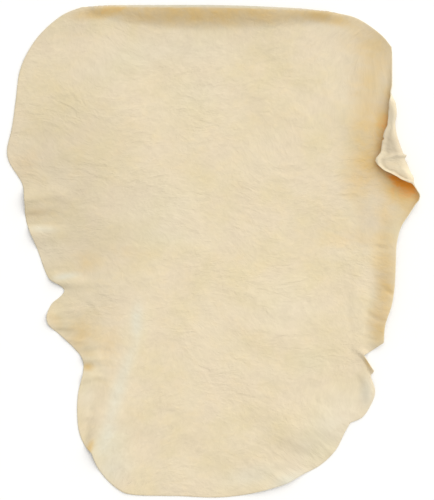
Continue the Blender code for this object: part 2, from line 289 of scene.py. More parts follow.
def ring_grid(rings):
    """A square grid read as rings: ring = the larger of |u| and |v|, and turn is how far round its ring a
    point is, from 0 to 1, anticlockwise from the middle of the right-hand side."""
    u, v = np.meshgrid(np.linspace(-1, 1, 2 * rings + 1), np.linspace(-1, 1, 2 * rings + 1))
    ring = np.maximum(np.abs(u), np.abs(v))
    span = np.where(ring > 0, ring, 1)
    turn = np.select(
        [u >= np.abs(v), v >= np.abs(u), -u >= np.abs(v)],
        [v / span / 8, 1 / 4 - u / span / 8, 1 / 2 - v / span / 8],
        3 / 4 + u / span / 8,
    )
    return ring, turn % 1


def flat_grid():
    """The flat skin's points: middle + g (edge - middle), where edge is the cut edge's point at that turn,
    counted by its length from corner to corner, and g = (1 + a) ring - a ring squared brings the outer
    rings closer together."""
    edge = cut_edge()
    edge = np.roll(edge, -nearest(edge, CORNERS[3]), axis=0)
    closed = np.vstack([edge, edge[:1]])
    apart = np.linalg.norm(np.diff(closed, axis=0), axis=1)
    between = (closed[1:] + closed[:-1]) / 2
    low, high = CROWDED_BETWEEN
    on_roll = (between[:, 0] > CROWDED_PAST) & (between[:, 1] > low) & (between[:, 1] < high)
    length = np.concatenate([[0], np.cumsum(apart * np.where(on_roll, EDGE_CROWDED, 1))])
    at_corner = [0, *(length[nearest(edge, corner)] for corner in CORNERS[:3]), length[-1]]
    ring, turn = ring_grid(RINGS)
    grown = (1 + RINGS_CROWDED) * ring - RINGS_CROWDED * ring**2
    at = np.interp((turn + 1 / 8) % 1, np.linspace(0, 1, 5), at_corner)
    on_edge = [np.interp(at, length, column) for column in closed.T]
    return [middle + grown * (outer - middle) for middle, outer in zip(MIDDLE, on_edge)]


def nearest(points, place):
    """The index of the point nearest to a place."""
    return int(np.argmin(np.linalg.norm(points - np.array(place), axis=1)))


# How the skin lies: face up, with its top edge tucked under, its right-hand edge standing up and rolled
# over on itself, and its rim lifted in soft folds. It is the cut skin moved point by point, so its size
# stays what was cut.

# The crest of each soft fold runs through its rows and is as high as they say. The skin falls from it to
# the surface over the reach given for its left and for its right, as seen by someone walking along the
# crest.
FOLDS = {
    # x, y, height, left reach, right reach
    "left flank, upper": ((-292, 74, 7, 24, 28), (-262, 75, 5, 22, 27), (-222, 80, 0, 18, 22)),
    "left flank, lower": ((-286, 20, 4.5, 22, 20), (-255, 22, 4, 20, 18), (-210, 28, 0, 16, 16)),
    "above the left notch": ((-236, -46, 4.5, 20, 9), (-208, -49, 3.5, 18, 11), (-176, -46, 0, 14, 12)),
    "left lobe": ((-256, -104, 3.5, 20, 18), (-222, -108, 0, 18, 16)),
    "waist, upper": ((-200, -163, 3, 12, 12), (-166, -160, 0, 12, 12)),
    "waist, lower": ((-204, -194, 3, 15, 13), (-160, -184, 0, 12, 12)),
    "long ridge": (
        (-188, -314, 6, 11, 28),
        (-176, -278, 5, 18, 32),
        (-162, -238, 4, 28, 36),
        (-144, -190, 3, 36, 40),
        (-126, -125, 2, 40, 42),
        (-112, -74, 0, 38, 40),
    ),
    "neck bulge": (
        (78, -262, 0, 34, 34),
        (122, -274, 5, 46, 40),
        (160, -264, 5, 42, 40),
        (194, -248, 0, 28, 30),
    ),
    "neck lip": (
        (50, -372, 0, 20, 18),
        (86, -362, 5, 28, 20),
        (118, -350, 5, 26, 20),
        (146, -334, 0, 16, 16),
    ),
    "beside the right flank": ((214, -10, 0, 24, 12), (213, -60, 1.5, 32, 14), (214, -132, 0, 24, 12)),
    "right flank": (
        (290, 66, 0, 44, 40),
        (280, 25, 6, 50, 40),
        (277, -20, 9, 50, 40),
        (274, -60, 10, 48, 40),
        (265, -100, 9, 44, 40),
        (258, -136, 8, 36, 30),
    ),
    "notch lip": ((243, -183, 6, 9, 9), (226, -155, 5, 9, 9), (211, -147, 0, 8, 8)),
    "right lobe": (
        (228, -232, 0, 16, 8),
        (235, -214, 3, 18, 9),
        (235, -196, 4, 20, 9),
        (230, -178, 0, 16, 8),
    ),
}
CREST_STEP = 4.0  # between the points that a crest is measured from
PROBE = 0.25  # how far off the skin is felt for its slope


def rolled(x, y):
    """Where the flat skin's points go in the roll: along an arc for the climb, round a tighter arc for the
    bend and down a straight flap, each starting in the direction that the last one ends in."""
    start, climb_radius, climb, radius, turn, _ = roll_section(y)
    along = np.maximum(x - start, 0)
    first = climb_radius * climb
    second = radius * (turn - climb)
    a = np.minimum(along, first) / climb_radius
    b = climb + np.clip(along - first, 0, second) / radius
    c = np.maximum(along - first - second, 0)
    out = climb_radius * np.sin(a) + radius * (np.sin(b) - np.sin(climb)) + c * np.cos(turn)
    up = climb_radius * (1 - np.cos(a)) + radius * (np.cos(climb) - np.cos(b)) + c * np.sin(turn)
    return np.minimum(x, start) + out, up


def tucked(x, y):
    """Where the flat skin's points go in the tuck: up an S-shaped rise, 3 s^2 - 2 s^3 of the height at a
    share s of it, round an arc and straight on under the skin, in the direction that the arc ends in."""
    foot, crest, height, radius, turn, _ = tuck_section(x)
    share = np.clip((y - foot) / (crest - foot), 0, 1)
    past = np.maximum(y - crest, 0)
    angle = np.minimum(past / radius, turn)
    under = np.maximum(past - radius * turn, 0)
    across = np.minimum(y, crest) + radius * np.sin(angle) + under * np.cos(turn)
    up = height * share**2 * (3 - 2 * share) - radius * (1 - np.cos(angle)) - under * np.sin(turn)
    return across, up


def crest_points(rows):
    """Stations along a soft fold's crest: its x, y, height and reaches, and the direction it runs in."""
    rows = np.array(rows, float)
    run = np.concatenate([[0], np.cumsum(np.linalg.norm(np.diff(rows[:, :2], axis=0), axis=1))])
    at = np.linspace(0, run[-1], math.ceil(run[-1] / CREST_STEP) + 1)
    x, y, height, left, right = (monotone_cubic(run, column, at) for column in rows.T)
    return x, y, height, left, right, np.arctan2(np.gradient(y), np.gradient(x))


def fold_height(x, y):
    """How far the soft folds lift the skin: the highest of them at each point, each height cos^2(90 degrees
    times distance / reach) about its crest."""
    lift = np.zeros(x.shape)
    for fold in FOLDS.values():
        for crest_x, crest_y, height, left, right, heading in zip(*crest_points(fold)):
            dx, dy = x - crest_x, y - crest_y
            reach = np.where(math.cos(heading) * dy > math.sin(heading) * dx, left, right)
            away = np.minimum(np.hypot(dx, dy) / reach, 1)
            lift = np.maximum(lift, height * np.cos(away * math.pi / 2) ** 2)
    return lift


def laid(x, y):
    """Where the flat skin's points come to lie: rolled, tucked or left where they are, and lifted by the
    folds."""
    in_roll = (y > ROLL[0][0]) & (y < ROLL[-1][0])
    in_tuck = (x < TUCK[0][0]) & (x > TUCK[-1][0]) & (y > 0)
    rolled_x, rolled_z = rolled(x, y)
    tucked_y, tucked_z = tucked(x, y)
    return np.stack(
        [
            np.where(in_roll, rolled_x, x),
            np.where(in_tuck, tucked_y, y),
            fold_height(x, y) + np.where(in_roll, rolled_z, 0) + np.where(in_tuck, tucked_z, 0),
        ],
        -1,
    )


def skin_normals(x, y):
    """The direction out of the skin's face: the cross product of its slopes along the flat skin's x and
    y."""
    along = laid(x + PROBE, y) - laid(x - PROBE, y)
    across = laid(x, y + PROBE) - laid(x, y - PROBE)
    out = np.cross(along, across)
    return out / np.maximum(np.linalg.norm(out, axis=-1, keepdims=True), 1e-9)


def step_up(values, low, high):
    """From 0 at low to 1 at high, along s^2 (3 - 2 s)."""
    share = np.clip((values - low) / (high - low), 0, 1)
    return share**2 * (3 - 2 * share)


# The unevenness of the skin itself: a seeded waviness of several sizes, the lip of the free edge, and
# listed creases. All of it is a lift, square to the skin in the roll and straight up everywhere else.

FIRST_SEED = 41
SWELLS = (
    # long, wide, heading, height: seeded unevenness of each size, in mm and degrees
    (150, 100, 20, 1.1),
    (88, 22, 3, 0.36),
    (56, 34, -12, 0.42),
    (27, 15, 4, 0.22),
)
RESTING = 0.55  # the lift that the swells and the creases are added to
SETTLING = 0.6  # lifts closer to nothing than this are eased onto the surface
WANDER = 9.0  # how far the swells are pushed out of line
WANDER_SIZE = 70.0
CALM = 26.0  # over this length before the tuck's crest the unevenness dies away
LATTICE = 64  # cells each way before the seeded heights repeat

# The lip where the flap's free edge curls back, and the groove behind it. Both fade out at the ends.
LIP_HEIGHT = 2.1
LIP_REACH = 3.2
GROOVE_DEPTH = 1.0
GROOVE_INSET = 5.6
GROOVE_REACH = 3.0
LIP_ENDS = (101, 107, 178, 196)  # the y where both start, are full, start to fade and are gone

# Creases and soft ridges, each along a bowed line, highest at its middle and gone at its ends. One with a
# negative height is a trough. The bow is to the left of someone walking along it.
CREASES = (
    # from x, y, to x, y, bow, height, reach
    # The left flank: a fan of folds that run in from the edge.
    (-312, 72, -206, 84, 8, 3.4, 18),
    (-296, 62, -222, 74, 6, -0.8, 5),
    (-292, 54, -214, 64, 5, 0.7, 4),
    (-310, 44, -216, 42, 4, -2.4, 13),
    (-296, 30, -216, 38, -3, 1.6, 10),
    (-278, 4, -226, 12, 2, 0.7, 7),
    (-268, -14, -212, -2, 3, -0.6, 7),
    (-258, -28, -206, -20, 2, 0.6, 6),
    (-300, 176, -262, 160, 3, -0.7, 7),
    (-300, 164, -268, 154, 2, 0.6, 5),
    (-303, 118, -262, 122, -4, 0.5, 8),
    # The belly: long level creases.
    (-210, 14, -96, 10, 3, -0.5, 6),
    (-196, 6, -60, 2, 3, 0.45, 6),
    (-190, -46, -60, -46, 3, -0.55, 6),
    (-150, -55, -10, -52, 5, 0.45, 6),
    (-70, -42, -24, -28, 2, -0.5, 5),
    (-20, 34, 26, 30, 2, -0.45, 5),
    (-30, 24, 40, 22, 3, 0.4, 5),
    (-90, 56, -8, 52, 3, -0.3, 7),
    # The back: shallow curved creases below the middle of the shoulder.
    (46, 140, 168, 134, -16, -0.5, 6),
    (58, 126, 150, 116, -12, 0.5, 6),
    (70, 112, 160, 104, -9, -0.4, 6),
    (-38, 112, 30, 66, -6, -0.35, 9),
    # The shoulder: slanting creases up to the corner.
    (150, 238, 226, 306, 4, -0.6, 9),
    (168, 262, 214, 318, 4, 0.6, 8),
    (110, 286, 168, 330, 3, 0.45, 9),
    (206, 196, 250, 248, 5, -0.6, 9),
    # The stump of the left foreleg: creases that spread from its tip.
    (-258, -92, -204, -72, 3, -1.0, 5),
    (-256, -100, -196, -88, 3, 1.0, 5),
    (-252, -106, -200, -102, 2, -1.3, 5),
    (-248, -114, -198, -114, 0, 0.9, 5),
    (-244, -120, -206, -122, 0, -1.1, 5),
    (-236, -128, -180, -136, -2, 0.8, 6),
    (-240, -66, -188, -58, 2, 0.8, 6),
    (-226, -60, -172, -104, 8, -0.5, 7),
    (-214, -62, -160, -110, 10, 0.5, 7),
    # The waist on the left: short tight creases straight in from the edge.
    (-198, -152, -150, -150, 2, -1.0, 6),
    (-197, -164, -146, -162, 1, 0.9, 5),
    (-196, -172, -150, -172, -1, -1.1, 5),
    (-197, -182, -144, -190, -2, 0.8, 6),
    (-202, -200, -160, -196, 2, -0.7, 7),
    (-204, -246, -176, -238, 2, -0.9, 6),
    (-203, -254, -178, -248, 1, 0.8, 5),
    # The neck: slanting creases along the long ridge, and the hollow right of them.
    (-176, -296, -146, -264, 3, -0.9, 5),
    (-168, -312, -134, -276, 3, 1.0, 5),
    (-160, -324, -122, -284, 3, -0.8, 5),
    (-150, -332, -112, -296, 3, 0.9, 5),
    (-100, -345, -40, -320, 4, -0.4, 9),
    (104, -286, 158, -318, -6, -1.5, 17),
    (84, -330, 130, -350, -5, 1.0, 12),
    (60, -262, 120, -240, 5, 0.5, 10),
    (-70, -92, -40, -126, 7, -0.4, 6),
    (-60, -118, -10, -134, 8, 0.4, 7),
    (108, -122, 168, -150, 4, -0.35, 7),
    # The right flank: short creases across the lifted strip.
    (222, 6, 274, 4, 1, -1.5, 3.8),
    (226, 11, 270, 9, 1, 0.6, 4),
    (226, -20, 272, -16, 2, 0.5, 5),
    (230, -44, 272, -40, 1, -0.5, 5),
    (228, -58, 262, -61, 1, -0.8, 4),
    (254, -56, 276, -71, 1, -2.2, 3.8),
    (226, -89, 262, -106, -3, -1.8, 3.8),
    (230, -84, 262, -98, -3, 0.7, 4),
    (222, -126, 252, -134, -1, -0.5, 5),
    (214, -150, 236, -178, 2, -1.2, 6),
    (206, -176, 232, -200, 3, 0.8, 8),
    # The roll: the step and the crease across its free flap.
    (274, 142, 308, 142, 0, -4.6, 4.2),
    (300, 143, 338, 132, 3, -1.8, 3.6),
    (300, 150, 330, 148, 1, 0.9, 5),
    (286, 196, 304, 190, 0, -0.5, 4),
)
CREASE_FULLNESS = 0.8  # below 1, a crease is nearer its full height towards its ends


def lattice_noise(seed, x, y, long, wide, heading):
    """Seeded unevenness from -1 to 1: random heights at the crossings of a lattice of cells of that size,
    turned by heading, joined along s^3 (6 s^2 - 15 s + 10) of each share s of a cell."""
    heights = np.random.default_rng(seed).uniform(-1, 1, (LATTICE, LATTICE))
    turned = math.radians(heading)
    along = (x * math.cos(turned) + y * math.sin(turned)) / long + LATTICE / 2
    across = (y * math.cos(turned) - x * math.sin(turned)) / wide + LATTICE / 2
    i, j = np.floor(along).astype(int), np.floor(across).astype(int)
    s, t = (share**3 * (6 * share**2 - 15 * share + 10) for share in (along - i, across - j))
    i_next, j_next, i, j = (place % LATTICE for place in (i + 1, j + 1, i, j))
    low = heights[i, j] * (1 - s) + heights[i_next, j] * s
    high = heights[i, j_next] * (1 - s) + heights[i_next, j_next] * s
    return low * (1 - t) + high * t


def crease_height(x, y):
    """The sum of the creases at each point: each height sin^CREASE_FULLNESS(180 degrees times the share
    along), times cos^2 across."""
    lift = np.zeros(x.shape)
    for from_x, from_y, to_x, to_y, bow, height, reach in CREASES:
        run = math.hypot(to_x - from_x, to_y - from_y)
        ahead_x, ahead_y = (to_x - from_x) / run, (to_y - from_y) / run
        share = np.clip(((x - from_x) * ahead_x + (y - from_y) * ahead_y) / run, 0, 1)
        aside = (y - from_y) * ahead_x - (x - from_x) * ahead_y - 4 * bow * share * (1 - share)
        across = np.cos(np.minimum(np.abs(aside) / reach, 1) * math.pi / 2) ** 2
        lift += height * np.sin(math.pi * share) ** CREASE_FULLNESS * across
    return lift


def lip_height(x, y):
    """How the free edge of the flap curls back: cos^2 of the distance from the edge, and a cos^2 groove
    behind it. The distance is the gap along x, made square to the edge by its slope: gap / sqrt(1 + (dx /
    dy)^2)."""
    start, _, _, _, _, length = roll_section(y)
    ahead, back = (roll_section(y + side)[0] + roll_section(y + side)[-1] for side in (0.5, -0.5))
    inset = (start + length - x) / np.hypot(1, ahead - back)
    lip = np.cos(np.clip(inset / LIP_REACH, -1, 1) * math.pi / 2) ** 2
    groove = np.cos(np.clip((inset - GROOVE_INSET) / GROOVE_REACH, -1, 1) * math.pi / 2) ** 2
    shown = step_up(y, *LIP_ENDS[:2]) * (1 - step_up(y, *LIP_ENDS[2:]))
    return shown * (GROOVE_DEPTH * groove - LIP_HEIGHT * lip)


def settled(lift):
    """A lift that lies flat on the surface where it would go below it, and leaves it gently: (lift +
    SETTLING)^2 / (4 SETTLING) between -SETTLING and SETTLING, nothing below that and the lift itself
    above."""
    near = np.clip(lift, -SETTLING, SETTLING)
    return (near + SETTLING) ** 2 / (4 * SETTLING) + np.maximum(lift - SETTLING, 0)


def turned_up(x, y):
    """Whether each of the flat skin's points is in the climb, the bend or the flap of the roll."""
    return (x > roll_section(y)[0]) & (y > ROLL[0][0]) & (y < ROLL[-1][0])


def unevenness(x, y):
    """How far the skin's underside is lifted above where it was laid: the resting lift, the swells and the
    creases, settled on the surface, and less and less towards the tuck, where the skin is pulled smooth."""
    wander_x = WANDER * lattice_noise(FIRST_SEED, x, y, WANDER_SIZE, WANDER_SIZE, 0)
    wander_y = WANDER * lattice_noise(FIRST_SEED + 1, x, y, WANDER_SIZE, WANDER_SIZE, 0)
    lift = RESTING + crease_height(x, y)
    for i, (long, wide, heading, height) in enumerate(SWELLS):
        swell = lattice_noise(FIRST_SEED + 2 + i, x + wander_x, y + wander_y, long, wide, heading)
        lift = lift + height * swell
    _, crest, _, _, _, _ = tuck_section(x)
    in_tuck = (x < TUCK[0][0]) & (x > TUCK[-1][0])
    smooth = np.where(in_tuck, 1 - step_up(y, crest - CALM, crest), 1)
    raised = laid(x, y)[..., 2]
    return smooth * np.where(turned_up(x, y), lift + lip_height(x, y), settled(raised + lift) - raised)


# Where the skin's tone changes. It is a deeper tan in the roll, the tuck and parts of the rim, and pale
# along some ridges. A negative amount is pale. Most of the tan is painted shade: in the roll's mouth, in the
# flap's shadow and on slopes that face away from the lamp. Most of the pale is a painted highlight on the
# lit sides of ridges. A few broad, weak spots are the skin's own uneven tone.
TONES = (
    # x, y, half length, half width, heading, amount
    (262, 165, 70, 32, 90, 0.42),
    (236, 138, 46, 34, 30, 0.20),
    (226, 190, 44, 40, 90, 0.08),
    (216, 104, 40, 36, 0, 0.08),
    (250, 170, 40, 16, 90, 0.10),
    (222, 172, 40, 30, 90, 0.10),
    (252, 200, 32, 14, 90, 0.26),
    (285, 94, 48, 38, -24, 0.60),
    (272, 110, 24, 12, -28, 0.30),
    (262, 84, 40, 28, -30, 0.08),
    (258, 58, 30, 26, 90, 0.18),
    (216, 18, 66, 24, 0, 0.08),
    (254, 120, 40, 24, -30, 0.26),
    (232, 235, 110, 40, 90, 0.24),
    (222, 120, 90, 44, 90, 0.20),
    (250, 306, 60, 40, -60, 0.24),
    (256, -8, 76, 30, 90, 0.28),
    (260, -54, 32, 24, 90, 0.30),
    (254, -98, 52, 32, 80, 0.32),
    (252, -124, 28, 20, 80, 0.24),
    (234, -168, 22, 8, 120, 0.44),
    (-198, -122, 46, 34, 60, 0.22),
    (-188, -153, 15, 9, 0, 0.14),
    (-187, -173, 15, 10, 0, 0.42),
    (212, 318, 44, 30, -30, 0.12),
    (-238, -104, 26, 14, -45, 0.16),
    (-280, 131, 34, 24, 60, 0.12),
    (-262, 56, 40, 14, 6, 0.10),
    (-120, 0, 70, 30, 20, 0.04),
    (-184, -294, 22, 8, 66, 0.52),
    (-188, -17, 32, 26, 0, 0.14),
    (-160, -140, 44, 32, 80, 0.14),
    (190, 25, 50, 40, 0, 0.06),
    (-168, 358, 64, 15, 8, 0.40),
    (176, 350, 70, 16, -12, 0.40),
    (-256, 33, 32, 9, -4, -0.55),
    (-222, -38, 30, 9, 8, -0.74),
    (-115, -104, 46, 15, 88, -0.56),
    (-128, -166, 50, 16, 66, -0.44),
    (-144, -214, 56, 18, 70, -0.60),
    (-160, -270, 56, 20, 66, -0.52),
    (-154, -298, 56, 34, 56, -0.50),
    (60, -336, 80, 24, 10, -0.36),
    (170, -270, 110, 60, 50, -0.32),
    (-60, 300, 130, 40, 4, -0.18),
    (-80, 60, 90, 60, 20, -0.16),
    (-76, 20, 80, 26, 0, -0.20),
    (-134, 280, 64, 60, 0, -0.14),
    (-250, -4, 40, 34, 60, -0.12),
    (-226, -54, 26, 22, 0, -0.14),
    (-190, -214, 40, 20, 90, -0.22),
    (110, -80, 80, 60, 0, -0.12),
    (-24, 232, 60, 44, 0, -0.16),
    (-170, 264, 50, 40, 0, -0.12),
    (-112, -110, 44, 30, 80, -0.16),
    (148, -166, 44, 30, 0, -0.18),
    (112, -348, 48, 22, 24, -0.70),
    (-146, -330, 44, 30, 30, -0.36),
    (230, -212, 36, 16, 90, -0.50),
)
# Painted shade inside the roll: a deep tan by y, deepest under the overhanging flap, that deepens as the
# skin climbs and turns.
PAINTED_SHADE_OF_ROLL = (
    # y, amount
    (28, 0.0),
    (48, 0.35),
    (62, 0.28),
    (76, 0.3),
    (92, 0.45),
    (104, 0.85),
    (120, 1.0),
    (150, 0.8),
    (205, 0.6),
    (240, 0.3),
    (290, 0.0),
)
# Painted shade, as tan, on the rise to the tuck, where the skin faces away from the lamp, and a painted
# highlight, as a pale colour, on the tuck's bend, where it faces the lamp.
PAINTED_SHADE_OF_TUCK = 0.42
PAINTED_HIGHLIGHT_OF_CREST = 0.74
ROLL_TANS = (0.15, 1)  # where the roll's tan deepens, as shares of the climb and one radius more
TUCK_SHOWS = (12, 36)  # the lengths of rise that the tuck's tones come in between
RISE_TANS = (0, 0.7)  # the shares of the rise that its tan deepens between
TAN_ENDS = (0, 0.7)  # the angles round the bend, in radians, that it ends between
CREST_PALES = (0.2, 0.9)  # the angles, in radians, that the bend turns pale between


def tone(x, y):
    """The tone of the skin's face, from -1, pale, to 1, deep tan: the sum of the spots, each amount cos^2
    of its distance, and of the inside of the roll, by how far it has turned, and of the rise to the tuck, by
    its height, less the pale bend beyond, by its angle. The tan inside the roll and on the rise is painted
    shade, and the pale bend is a painted highlight."""
    total = bells(TONES, x, y)
    start, climb_radius, climb, radius, _, _ = roll_section(y)
    turned = (x - start) / (climb_radius * climb + radius)
    in_roll = (y > ROLL[0][0]) & (y < ROLL[-1][0])
    total += np.where(in_roll, columns(PAINTED_SHADE_OF_ROLL, y)[0] * step_up(turned, *ROLL_TANS), 0)
    foot, crest, _, radius, _, _ = tuck_section(x)
    share = np.clip((y - foot) / (crest - foot), 0, 1)
    full = np.where((x < TUCK[0][0]) & (x > TUCK[-1][0]), step_up(crest - foot, *TUCK_SHOWS), 0)
    past = (y - crest) / radius
    total += full * PAINTED_SHADE_OF_TUCK * step_up(share, *RISE_TANS) * (1 - step_up(past, *TAN_ENDS))
    total -= full * PAINTED_HIGHLIGHT_OF_CREST * step_up(past, *CREST_PALES)
    return np.clip(total, -1, 1)


# Painted light and shade: darker over the flanks and the rim than in the middle, darker still on the rise
# to the tuck and in the roll's mouth, and lighter in a few spots. An amount is a share of the light that the
# skin gives back, on its face and then on the flap's other side.
SHADES = (
    # x, y, half length, half width, heading, amount
    (-240, 70, 310, 180, 92, -0.125),
    (0, 372, 340, 50, 0, -0.175),
    (150, 350, 76, 24, -10, -0.05),
    (-262, 318, 36, 32, 0, -0.06),
    (-100, 92, 60, 40, 0, -0.04),
    (-164, -74, 54, 44, 0, -0.055),
    (224, 20, 74, 26, 90, -0.05),
    (280, 60, 36, 20, 50, -0.05),
    (0, 330, 340, 90, 0, -0.035),
    (170, 352, 60, 18, -12, -0.08),
    (256, 336, 90, 46, -50, -0.10),
    (-200, 350, 90, 46, 40, -0.07),
    (300, 84, 30, 22, -40, 0.06),
    (284, 98, 38, 20, -28, -0.13),
    (262, 300, 130, 90, -60, -0.11),
    (226, 160, 150, 60, 90, -0.07),
    (-200, -128, 56, 50, 90, -0.09),
    (-226, -112, 34, 18, -45, -0.06),
    (-150, 20, 110, 50, 0, -0.03),
    (-262, 34, 34, 12, 6, 0.08),
    (-192, -166, 30, 26, 90, -0.10),
    (246, 40, 50, 40, 90, -0.05),
    (254, -70, 80, 28, 88, -0.04),
    (120, -60, 220, 150, 0, 0.02),
)
# Painted light and shade on the flap's other side: darker over its upper part and beside its bend, lighter
# towards its lower point.
FLAP_SHADES = (
    # x, y, half length, half width, heading, amount
    (300, 180, 60, 40, 90, -0.16),
    (296, 132, 22, 18, 90, -0.12),
    (318, 124, 40, 22, 20, 0.10),
)


def bells(table, x, y):
    """The sum of a table's spots at each point: each amount cos^2 of the distance, measured in its half
    sizes."""
    total = np.zeros(x.shape)
    for at_x, at_y, half_length, half_width, heading, amount in table:
        turned = math.radians(heading)
        along = ((x - at_x) * math.cos(turned) + (y - at_y) * math.sin(turned)) / half_length
        across = ((y - at_y) * math.cos(turned) - (x - at_x) * math.sin(turned)) / half_width
        total += amount * np.cos(np.minimum(np.hypot(along, across), 1) * math.pi / 2) ** 2
    return total


# Which way the grain runs. The fine creases lie level over the back and the belly, and swing round the legs
# and the neck: the grain's own y is the skin's y plus soft bells, so it stays level on each of them.
SWINGS = (
    # x, y, reach, lift
    (-270, -350, 270, 130),
    (300, 350, 230, -120),
    (118, 130, 110, 26),
    (-330, 60, 130, -30),
    (-270, -110, 90, 24),
    (210, -330, 190, 60),
    (-60, -140, 80, -16),
    (-120, 190, 150, 22),
)
GRAIN_WANDER = 12.0


def grain_place(x, y):
    """The grain's coordinates: the skin's own, swung by the bells, each lift cos^2 of its distance, and
    wandering."""
    along = x + GRAIN_WANDER * lattice_noise(FIRST_SEED + 10, x, y, 80, 80, 0)
    across = y + GRAIN_WANDER * lattice_noise(FIRST_SEED + 11, x, y, 90, 60, 0)
    for at_x, at_y, reach, lift in SWINGS:
        away = np.minimum(np.hypot(x - at_x, y - at_y) / reach, 1)
        across = across + lift * np.cos(away * math.pi / 2) ** 2
    return np.stack([along, across], -1)


# The skin as one closed shell: its underside, its face one thickness above, and the cut edge between them,
# a little rounded.

EDGE_SWELL = 0.25  # how far the cut edge stands out at its middle
OTHER_SIDE = (900, 0)  # how far the other side's maps lie from the face's
TONE_OF_OTHER_SIDE = 0.05  # the share of the face's tone that shows there
TONE_OF_EDGE = 0.3
EDGE_ROWS = ((0.28, 1.0), (0.72, 1.0))  # share of the thickness, share of the swell


def edge_order(rings):
    """The indices of the square grid's outer ring, anticlockwise."""
    side = 2 * rings
    ahead, last = np.arange(side), np.full(side, side)
    row = np.concatenate([0 * ahead, ahead, last, side - ahead])
    column = np.concatenate([ahead, last, side - ahead, 0 * ahead])
    return row * (side + 1) + column


def face_quads(rings):
    """The square grid's faces, anticlockwise, each started so that its split runs outwards from the
    middle."""
    side = 2 * rings
    row, column = np.meshgrid(np.arange(side), np.arange(side), indexing="ij")
    first = (row * (side + 1) + column).ravel()
    quads = np.stack([first, first + 1, first + side + 2, first + side + 1], 1)
    crosswise = ((row + 0.5 - rings) * (column + 0.5 - rings) < 0).ravel()
    quads[crosswise] = np.roll(quads[crosswise], 1, axis=1)
    return quads


def skin_piece(name):
    """The shell: underside = laid point + unevenness, face = underside + thickness along the face's
    direction, and edge rows that swell outwards across the cut edge, square to the face's direction and to
    the edge's run. Where either layer would go below the surface that it rests on, both are lifted clear of
    it."""
    x, y = flat_grid()
    out = skin_normals(x, y)
    lift_along = np.where(turned_up(x, y)[..., None], out, (0.0, 0.0, 1.0))
    under = laid(x, y) + lift_along * unevenness(x, y)[..., None]
    under[..., 2] += np.maximum(0, -np.minimum(under[..., 2], (under + out * THICKNESS)[..., 2]))
    face = under + out * THICKNESS
    count = x.size
    ring = edge_order(RINGS)
    flat_under, flat_face, flat_out = (part.reshape(-1, 3) for part in (under, face, out))
    run = np.roll(flat_under[ring], -1, axis=0) - np.roll(flat_under[ring], 1, axis=0)
    away = np.cross(run, flat_out[ring])
    away /= np.linalg.norm(away, axis=1, keepdims=True)
    rows = [
        flat_under[ring] + flat_out[ring] * THICKNESS * share + away * EDGE_SWELL * swell
        for share, swell in EDGE_ROWS
    ]
    points = np.vstack([flat_under, flat_face, *rows])
    points[2 * count :, 2] = np.maximum(points[2 * count :, 2], 0)
    quads = face_quads(RINGS)
    low_row = 2 * count + np.arange(len(ring))
    strips = [ring, low_row, low_row + len(ring), count + ring]
    edge_quads = [
        np.stack([low, np.roll(low, -1), np.roll(high, -1), high], 1)
        for low, high in zip(strips[:-1], strips[1:])
    ]
    faces = np.vstack([quads[:, ::-1], quads + count, *edge_quads])
    finish = np.repeat([1, 0, 2], [len(quads), len(quads), 3 * len(ring)]).astype(np.int32)

    mesh = bpy.data.meshes.new(name)
    mesh.vertices.add(len(points))
    mesh.vertices.foreach_set("co", (points * MM).astype(np.float32).ravel())
    mesh.loops.add(faces.size)
    mesh.loops.foreach_set("vertex_index", faces.astype(np.int32).ravel())
    mesh.polygons.add(len(faces))
    mesh.polygons.foreach_set("loop_start", np.arange(0, faces.size, 4, dtype=np.int32))
    mesh.polygons.foreach_set("material_index", finish)
    mesh.update(calc_edges=True)
    mesh.shade_smooth()

    edge_flat = np.stack([x.ravel()[ring], y.ravel()[ring]], 1)
    grid_flat = np.stack([x.ravel(), y.ravel()], 1)
    where = np.vstack([grid_flat + OTHER_SIDE, grid_flat, edge_flat, edge_flat]) * MM
    cut = mesh.uv_layers.new(name="cut")
    cut.data.foreach_set("uv", where[faces.ravel()].astype(np.float32).ravel())
    grain = grain_place(x, y).reshape(-1, 2)
    where = np.vstack([grain + OTHER_SIDE, grain, grain[ring], grain[ring]]) * MM
    mesh.uv_layers.new(name="grain").data.foreach_set("uv", where[faces.ravel()].astype(np.float32).ravel())
    # The tone carries the painted shade and painted highlight of tone(), with a little of it on the other
    # side and on the cut edge.
    tones = tone(x, y).ravel()
    edge_tones = tones[ring] * TONE_OF_EDGE
    tones = np.concatenate([tones * TONE_OF_OTHER_SIDE, tones, edge_tones, edge_tones])
    mesh.attributes.new("tone", "FLOAT", "POINT").data.foreach_set("value", tones.astype(np.float32))
    # Painted light and shade: the spots of SHADES on the face and the cut edge, and those of FLAP_SHADES on
    # the other side.
    painted_shading, flap_painted_shading = bells(SHADES, x, y).ravel(), bells(FLAP_SHADES, x, y).ravel()
    painted_shading = np.concatenate([flap_painted_shading, painted_shading, painted_shading[ring], painted_shading[ring]])
    mesh.attributes.new("painted_shading", "FLOAT", "POINT").data.foreach_set("value", painted_shading.astype(np.float32))

    piece = bpy.data.objects.new(name, mesh)
    bpy.context.scene.collection.objects.link(piece)
    return piece


# The finishes. Both sides have a nap: the face is cream, clouded with yellow, and the other side is paler.
# The nap lies in short strokes, and the cut edge shows the fibre.

CREAM = (0.705, 0.612, 0.452, 1)
YELLOW = (0.655, 0.562, 0.352, 1)
ROSY = (0.695, 0.590, 0.440, 1)
FLESH_SIDE = (0.770, 0.690, 0.510, 1)
# The pale, the ochre and the tan are mixed in by the tone attribute: the pale mostly as a painted highlight,
# the ochre and the tan mostly as painted shade, and a little of each as the skin's own uneven tone.
PALE = (0.650, 0.632, 0.525, 1)
OCHRE = (0.680, 0.490, 0.225, 1)
TAN = (0.800, 0.310, 0.035, 1)
FIBRE = (0.780, 0.710, 0.560, 1)


